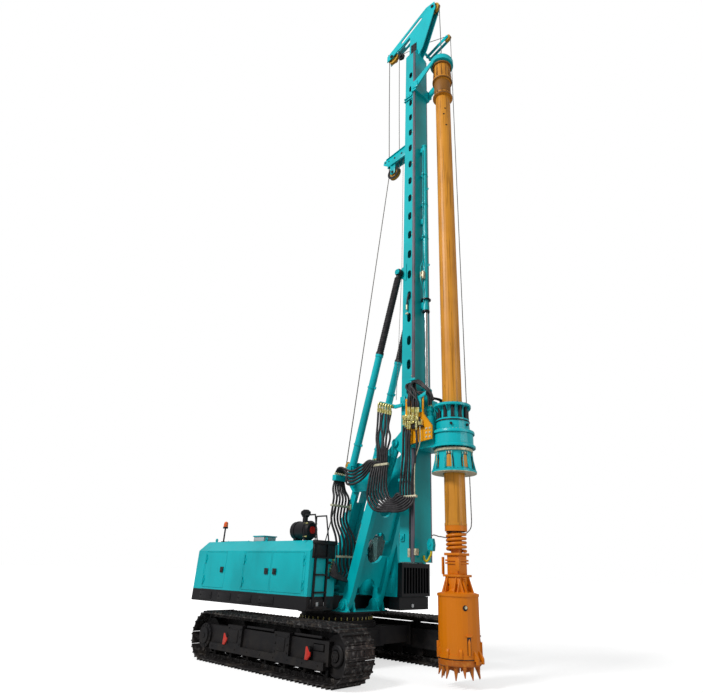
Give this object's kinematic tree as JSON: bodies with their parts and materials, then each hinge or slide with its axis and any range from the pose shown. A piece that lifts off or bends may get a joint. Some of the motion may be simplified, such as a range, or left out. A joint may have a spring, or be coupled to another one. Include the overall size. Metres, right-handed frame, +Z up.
{
  "type": "rotary piling rig",
  "caption": "Tracked rotary piling rig with a slewing upper, tilting box mast, crowd-driven rotary drive, kelly bar and drilling bucket.",
  "frame": {"origin": "slewing centre on the ground, between the tracks", "axes": "+X forward to the mast and the tool, +Y to the machine's left, +Z up"},
  "size_m": [7.43, 4.08, 19.2358],
  "materials": {
    "teal_paint": "semi-gloss teal paint",
    "dark_frame": "satin black paint",
    "track_steel": "worn dark steel",
    "orange_paint": "semi-gloss orange paint",
    "bucket_paint": "satin orange paint",
    "chrome": "polished rod",
    "sheave_paint": "ochre paint",
    "lamp_plastic": "orange plastic",
    "seat_fabric": "black cloth"
  },
  "bodies": {
    "undercarriage": {"track_right": "track_steel", "track_left": "track_steel", "track_frame_right": "dark_frame", "track_frame_left": "dark_frame", "car_body": "dark_frame", "slew_ring": "dark_frame"},
    "upper": {"platform": "dark_frame", "boom_bracket": "teal_paint", "link_bracket": "teal_paint", "hood": "teal_paint", "counterweight": "teal_paint", "engine_block": "dark_frame", "winch_stand": "teal_paint", "cab_shell": "teal_paint", "cab_seat": "seat_fabric", "cab_guard": "dark_frame", "ladder": "dark_frame", "air_filter": "teal_paint", "beacon": "lamp_plastic"},
    "rear_door": {"rear_door": "teal_paint"},
    "middle_door": {"middle_door": "teal_paint"},
    "front_door": {"front_door": "teal_paint"},
    "cab_door": {"cab_door": "teal_paint"},
    "main_drum": {"main_drum": "sheave_paint"},
    "aux_drum": {"aux_drum": "sheave_paint"},
    "boom": {"boom": "teal_paint"},
    "rear_link": {"rear_link": "teal_paint"},
    "luff_barrel": {"luff_barrel": "teal_paint"},
    "luff_rod": {"luff_rod": "chrome"},
    "cradle": {"cradle": "teal_paint"},
    "tilt_barrels": {"tilt_barrel_right": "teal_paint", "tilt_barrel_left": "teal_paint"},
    "tilt_rods": {"tilt_rod_right": "dark_frame", "tilt_rod_left": "dark_frame"},
    "mast": {"mast_foot": "teal_paint", "mast_main": "teal_paint", "mast_head": "teal_paint", "mid_pulley_arm": "teal_paint", "crowd_barrel": "teal_paint", "aux_hook": "lamp_plastic"},
    "top_sheave": {"top_sheave": "sheave_paint"},
    "rear_sheave": {"rear_sheave": "sheave_paint"},
    "aux_sheave": {"aux_sheave": "sheave_paint"},
    "mid_sheave": {"mid_sheave": "sheave_paint"},
    "drive": {"drive_carriage": "teal_paint", "drive_plate_right": "orange_paint", "drive_plate_left": "orange_paint", "drive_housing": "teal_paint", "crowd_rod": "chrome"},
    "sleeve": {"drive_sleeve": "dark_frame"},
    "kelly_guide": {"kelly_guide": "teal_paint"},
    "kelly": {"kelly_bar": "orange_paint", "kelly_foot": "dark_frame", "bucket": "bucket_paint"},
    "gate": {"bucket_gate": "dark_frame"}
  },
  "joints": [
    {"name": "slew", "type": "hinge", "parent": "undercarriage", "child": "upper", "pos_m": [0, 0, 0.97], "axis": [0, 0, 1], "continuous": true},
    {"name": "rear_door_hinge", "type": "hinge", "parent": "upper", "child": "rear_door", "pos_m": [-3.24, -1.5143, 1.3], "axis": [0, 0, -1], "range_deg": [0, 110]},
    {"name": "middle_door_hinge", "type": "hinge", "parent": "upper", "child": "middle_door", "pos_m": [-1.6, -1.5143, 1.3], "axis": [0, 0, -1], "range_deg": [0, 110]},
    {"name": "front_door_hinge", "type": "hinge", "parent": "upper", "child": "front_door", "pos_m": [0.5, -1.5143, 1.3], "axis": [0, 0, 1], "range_deg": [0, 110]},
    {"name": "cab_door_hinge", "type": "hinge", "parent": "upper", "child": "cab_door", "pos_m": [-0.1, 1.5693, 1.3], "axis": [0, 0, 1], "range_deg": [0, 110]},
    {"name": "main_winch", "type": "hinge", "parent": "upper", "child": "main_drum", "pos_m": [-0.52, 0, 1.8], "axis": [0, 1, 0], "continuous": true},
    {"name": "aux_winch", "type": "hinge", "parent": "upper", "child": "aux_drum", "pos_m": [-1, 0, 1.62], "axis": [0, 1, 0], "continuous": true},
    {"name": "boom_luff", "type": "hinge", "parent": "upper", "child": "boom", "pos_m": [0.78, 0, 1.14], "axis": [0, -1, 0], "range_deg": [-7, 8]},
    {"name": "link_swing", "type": "hinge", "parent": "upper", "child": "rear_link", "pos_m": [-0.08, 0, 1.44], "axis": [0, -1, 0], "range_deg": [-7, 8]},
    {"name": "luff_barrel_swing", "type": "hinge", "parent": "upper", "child": "luff_barrel", "pos_m": [0.25, 0, 1.52], "axis": [0, -1, 0], "range_deg": [-10, 12]},
    {"name": "luff_rod_slide", "type": "slide", "parent": "luff_barrel", "child": "luff_rod", "axis": [0.6209, 0, 0.7839], "range_m": [-0.3, 0.3]},
    {"name": "cradle_level", "type": "hinge", "parent": "boom", "child": "cradle", "pos_m": [1.48, 0, 3.3], "axis": [0, 1, 0], "range_deg": [-7, 8]},
    {"name": "mast_tilt", "type": "hinge", "parent": "cradle", "child": "mast", "pos_m": [1.94, 0, 4.39], "axis": [0, -1, 0], "range_deg": [-4, 15]},
    {"name": "tilt_barrel_swing", "type": "hinge", "parent": "cradle", "child": "tilt_barrels", "pos_m": [0.62, 0, 3.93], "axis": [0, -1, 0], "range_deg": [-4, 15]},
    {"name": "tilt_rod_slide", "type": "slide", "parent": "tilt_barrels", "child": "tilt_rods", "axis": [0.2727, 0, 0.9621], "range_m": [-0.4, 0.2]},
    {"name": "top_sheave_spin", "type": "hinge", "parent": "mast", "child": "top_sheave", "pos_m": [3.08, 0, 19.02], "axis": [0, 1, 0], "continuous": true},
    {"name": "rear_sheave_spin", "type": "hinge", "parent": "mast", "child": "rear_sheave", "pos_m": [1.26, 0, 17.99], "axis": [0, 1, 0], "continuous": true},
    {"name": "aux_sheave_spin", "type": "hinge", "parent": "mast", "child": "aux_sheave", "pos_m": [3.22, 0.52, 17.9], "axis": [0, 1, 0], "continuous": true},
    {"name": "mid_sheave_spin", "type": "hinge", "parent": "mast", "child": "mid_sheave", "pos_m": [1.41, 0, 12.71], "axis": [0, 1, 0], "continuous": true},
    {"name": "crowd", "type": "slide", "parent": "mast", "child": "drive", "axis": [0, 0, 1], "range_m": [-0.9, 1.85]},
    {"name": "sleeve_spin", "type": "hinge", "parent": "drive", "child": "sleeve", "pos_m": [3.31, 0, 3.65], "axis": [0, 0, 1], "continuous": true},
    {"name": "kelly_hoist", "type": "slide", "parent": "mast", "child": "kelly_guide", "axis": [0, 0, 1], "range_m": [0, 0.9]},
    {"name": "kelly_spin", "type": "hinge", "parent": "kelly_guide", "child": "kelly", "pos_m": [3.31, 0, 2.64], "axis": [0, 0, 1], "continuous": true},
    {"name": "gate_hinge", "type": "hinge", "parent": "kelly", "child": "gate", "pos_m": [3.745, 0, 0.4], "axis": [0, -1, 0], "range_deg": [0, 60]}
  ],
  "couplings": [
    {"joint": "link_swing", "follows": "boom_luff", "ratio": 1},
    {"joint": "cradle_level", "follows": "boom_luff", "ratio": 1},
    {"joint": "luff_barrel_swing", "follows": "boom_luff", "ratio": 0.978},
    {"joint": "luff_rod_slide", "follows": "boom_luff", "m_per_rad": -0.651},
    {"joint": "tilt_barrel_swing", "follows": "mast_tilt", "ratio": 0.858},
    {"joint": "tilt_rod_slide", "follows": "mast_tilt", "m_per_rad": -1.205},
    {"joint": "sleeve_spin", "follows": "kelly_spin", "ratio": 1}
  ]
}
